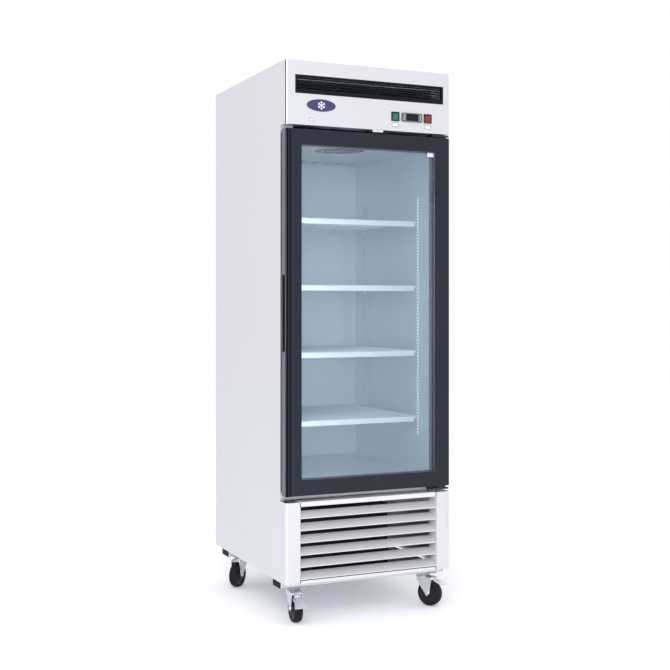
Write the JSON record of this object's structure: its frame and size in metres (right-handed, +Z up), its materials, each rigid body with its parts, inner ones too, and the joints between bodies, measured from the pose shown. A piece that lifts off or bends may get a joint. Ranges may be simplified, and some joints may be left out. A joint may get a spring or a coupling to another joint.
{
  "type": "reach in refrigerator",
  "caption": "Upright commercial refrigerator with a hinged glass door, wire shelves, a header with controls, a louvred lower panel and swivel casters.",
  "frame": {"origin": "on the floor, under the middle of the cabinet", "axes": "+Z up, -Y towards the door side, +X to the right when facing the door"},
  "size_m": [0.6963, 0.8193, 2.073],
  "materials": {
    "stainless_skin": "satin",
    "galvanised_steel": "satin",
    "foam": "matte",
    "stainless_liner": "satin",
    "stainless_cover": "satin",
    "coil_aluminium": "satin",
    "coil_black": "satin",
    "motor_black": "satin",
    "compressor_black": "gloss",
    "pan_plastic": "matte",
    "copper": "satin",
    "black_plastic": "satin",
    "badge_blue": "gloss",
    "bezel_black": "satin",
    "controller_grey": "satin",
    "display_dark": "gloss",
    "base_tube": "satin",
    "cap_black": "matte",
    "zinc_steel": "satin",
    "standard_white": "satin",
    "clip_zinc": "satin",
    "light_aluminium": "satin",
    "light_diffuser": "satin",
    "caster_zinc": "satin",
    "screw_zinc": "satin",
    "door_frame": "satin",
    "door_glass": "gloss",
    "glass_spacer": "satin",
    "gasket": "matte",
    "grip_grey": "satin",
    "bush_plastic": "satin",
    "rocker_green": "gloss",
    "rocker_red": "gloss",
    "button_rubber": "matte",
    "fan_black": "satin",
    "shelf_white": "satin",
    "wheel_black": "matte"
  },
  "bodies": {
    "cabinet": {"side_panels": "stainless_skin", "top_panel": "stainless_skin", "rear_panels": "galvanised_steel", "header_panel": "stainless_skin", "corner_posts": "stainless_skin", "louvre_panel": "stainless_skin", "insulation_panels": "foam", "interior_liner": "stainless_liner", "evaporator_cover": "stainless_cover", "evaporator_coil": "coil_aluminium", "condenser_coil": "coil_black", "fan_motors": "motor_black", "compressor": "compressor_black", "condensate_pan": "pan_plastic", "refrigerant_pipes": "copper", "header_grille": "black_plastic", "badge": "badge_blue", "switch_bezels": "bezel_black", "controller_body": "controller_grey", "controller_display": "display_dark", "crossmembers": "base_tube", "end_caps_and_gland": "cap_black", "machine_deck": "galvanised_steel", "hinge_plates": "zinc_steel", "shelf_standards": "standard_white", "shelf_clips": "clip_zinc", "light_housing": "light_aluminium", "light_lens": "light_diffuser", "caster_plates": "caster_zinc", "fasteners": "screw_zinc"},
    "door": {"door_frame": "door_frame", "door_glass": "door_glass", "glass_spacer": "glass_spacer", "door_gasket": "gasket", "handle_grip": "grip_grey", "hinge_bushes": "bush_plastic"},
    "caster_front_left": {"caster_fork_front_left": "caster_zinc"},
    "wheel_front_left": {"caster_wheel_front_left": "wheel_black"},
    "pedal_front_left": {"brake_pedal_front_left": "caster_zinc"},
    "caster_front_right": {"caster_fork_front_right": "caster_zinc"},
    "wheel_front_right": {"caster_wheel_front_right": "wheel_black"},
    "pedal_front_right": {"brake_pedal_front_right": "caster_zinc"},
    "caster_rear_left": {"caster_fork_rear_left": "caster_zinc"},
    "wheel_rear_left": {"caster_wheel_rear_left": "wheel_black"},
    "caster_rear_right": {"caster_fork_rear_right": "caster_zinc"},
    "wheel_rear_right": {"caster_wheel_rear_right": "wheel_black"},
    "lighting_switch": {"lighting_rocker": "rocker_green"},
    "power_switch": {"power_rocker": "rocker_red"},
    "button_1": {"controller_button_1": "button_rubber"},
    "button_2": {"controller_button_2": "button_rubber"},
    "button_3": {"controller_button_3": "button_rubber"},
    "button_4": {"controller_button_4": "button_rubber"},
    "button_5": {"controller_button_5": "button_rubber"},
    "button_6": {"controller_button_6": "button_rubber"},
    "evaporator_fan": {"evaporator_fan": "fan_black"},
    "condenser_fan": {"condenser_fan": "fan_black"},
    "shelf_1": {"shelf_1": "shelf_white"},
    "shelf_2": {"shelf_2": "shelf_white"},
    "shelf_3": {"shelf_3": "shelf_white"},
    "shelf_4": {"shelf_4": "shelf_white"}
  },
  "joints": [
    {"name": "door_hinge", "type": "hinge", "parent": "cabinet", "child": "door", "pos_m": [0.327, -0.383, 1.15], "axis": [0, 0, 1], "range_deg": [0, 120], "stiffness_Nm_per_rad": 1.5, "springref_deg": -17.19},
    {"name": "swivel_front_left", "type": "hinge", "parent": "cabinet", "child": "caster_front_left", "pos_m": [-0.276, -0.3085, 0.112], "axis": [0, 0, 1], "continuous": true},
    {"name": "wheel_spin_front_left", "type": "hinge", "parent": "caster_front_left", "child": "wheel_front_left", "pos_m": [-0.27862, -0.33839, 0.05], "axis": [-0.9962, 0.0872, 0], "continuous": true},
    {"name": "brake_front_left", "type": "hinge", "parent": "caster_front_left", "child": "pedal_front_left", "pos_m": [-0.27966, -0.35034, 0.107], "axis": [-0.9962, 0.0872, 0], "range_deg": [0, 20]},
    {"name": "swivel_front_right", "type": "hinge", "parent": "cabinet", "child": "caster_front_right", "pos_m": [0.278, -0.3085, 0.112], "axis": [0, 0, 1], "continuous": true},
    {"name": "wheel_spin_front_right", "type": "hinge", "parent": "caster_front_right", "child": "wheel_front_right", "pos_m": [0.29208, -0.33499, 0.05], "axis": [-0.8829, -0.4695, 0], "continuous": true},
    {"name": "brake_front_right", "type": "hinge", "parent": "caster_front_right", "child": "pedal_front_right", "pos_m": [0.29772, -0.34558, 0.107], "axis": [-0.8829, -0.4695, 0], "range_deg": [-20, 0]},
    {"name": "swivel_rear_left", "type": "hinge", "parent": "cabinet", "child": "caster_rear_left", "pos_m": [-0.273, 0.2785, 0.112], "axis": [0, 0, 1], "continuous": true},
    {"name": "wheel_spin_rear_left", "type": "hinge", "parent": "caster_rear_left", "child": "wheel_rear_left", "pos_m": [-0.29529, 0.25843, 0.05], "axis": [-0.6691, 0.7431, 0], "continuous": true},
    {"name": "swivel_rear_right", "type": "hinge", "parent": "cabinet", "child": "caster_rear_right", "pos_m": [0.273, 0.2785, 0.112], "axis": [0, 0, 1], "continuous": true},
    {"name": "wheel_spin_rear_right", "type": "hinge", "parent": "caster_rear_right", "child": "wheel_rear_right", "pos_m": [0.288, 0.25252, 0.05], "axis": [-0.866, -0.5, 0], "continuous": true},
    {"name": "lighting_switch_rock", "type": "hinge", "parent": "cabinet", "child": "lighting_switch", "pos_m": [0.1062, -0.394, 1.893], "axis": [1, 0, 0], "range_deg": [-14, 0]},
    {"name": "power_switch_rock", "type": "hinge", "parent": "cabinet", "child": "power_switch", "pos_m": [0.2457, -0.394, 1.893], "axis": [1, 0, 0], "range_deg": [-14, 0]},
    {"name": "button_press_1", "type": "slide", "parent": "cabinet", "child": "button_1", "axis": [0, 1, 0], "range_m": [0, 0.0008], "stiffness_N_per_m": 400},
    {"name": "button_press_2", "type": "slide", "parent": "cabinet", "child": "button_2", "axis": [0, 1, 0], "range_m": [0, 0.0008], "stiffness_N_per_m": 400},
    {"name": "button_press_3", "type": "slide", "parent": "cabinet", "child": "button_3", "axis": [0, 1, 0], "range_m": [0, 0.0008], "stiffness_N_per_m": 400},
    {"name": "button_press_4", "type": "slide", "parent": "cabinet", "child": "button_4", "axis": [0, 1, 0], "range_m": [0, 0.0008], "stiffness_N_per_m": 400},
    {"name": "button_press_5", "type": "slide", "parent": "cabinet", "child": "button_5", "axis": [0, 1, 0], "range_m": [0, 0.0008], "stiffness_N_per_m": 400},
    {"name": "button_press_6", "type": "slide", "parent": "cabinet", "child": "button_6", "axis": [0, 1, 0], "range_m": [0, 0.0008], "stiffness_N_per_m": 400},
    {"name": "evaporator_fan_spin", "type": "hinge", "parent": "cabinet", "child": "evaporator_fan", "pos_m": [0, -0.12, 1.821], "axis": [0, 0, 1], "continuous": true},
    {"name": "condenser_fan_spin", "type": "hinge", "parent": "cabinet", "child": "condenser_fan", "pos_m": [-0.055, -0.208, 0.2851], "axis": [0, 1, 0], "continuous": true},
    {"name": "shelf_lift_1", "type": "slide", "parent": "cabinet", "child": "shelf_1", "axis": [0, 0, 1], "range_m": [0, 0.02]},
    {"name": "shelf_lift_2", "type": "slide", "parent": "cabinet", "child": "shelf_2", "axis": [0, 0, 1], "range_m": [0, 0.02]},
    {"name": "shelf_lift_3", "type": "slide", "parent": "cabinet", "child": "shelf_3", "axis": [0, 0, 1], "range_m": [0, 0.02]},
    {"name": "shelf_lift_4", "type": "slide", "parent": "cabinet", "child": "shelf_4", "axis": [0, 0, 1], "range_m": [0, 0.02]}
  ]
}
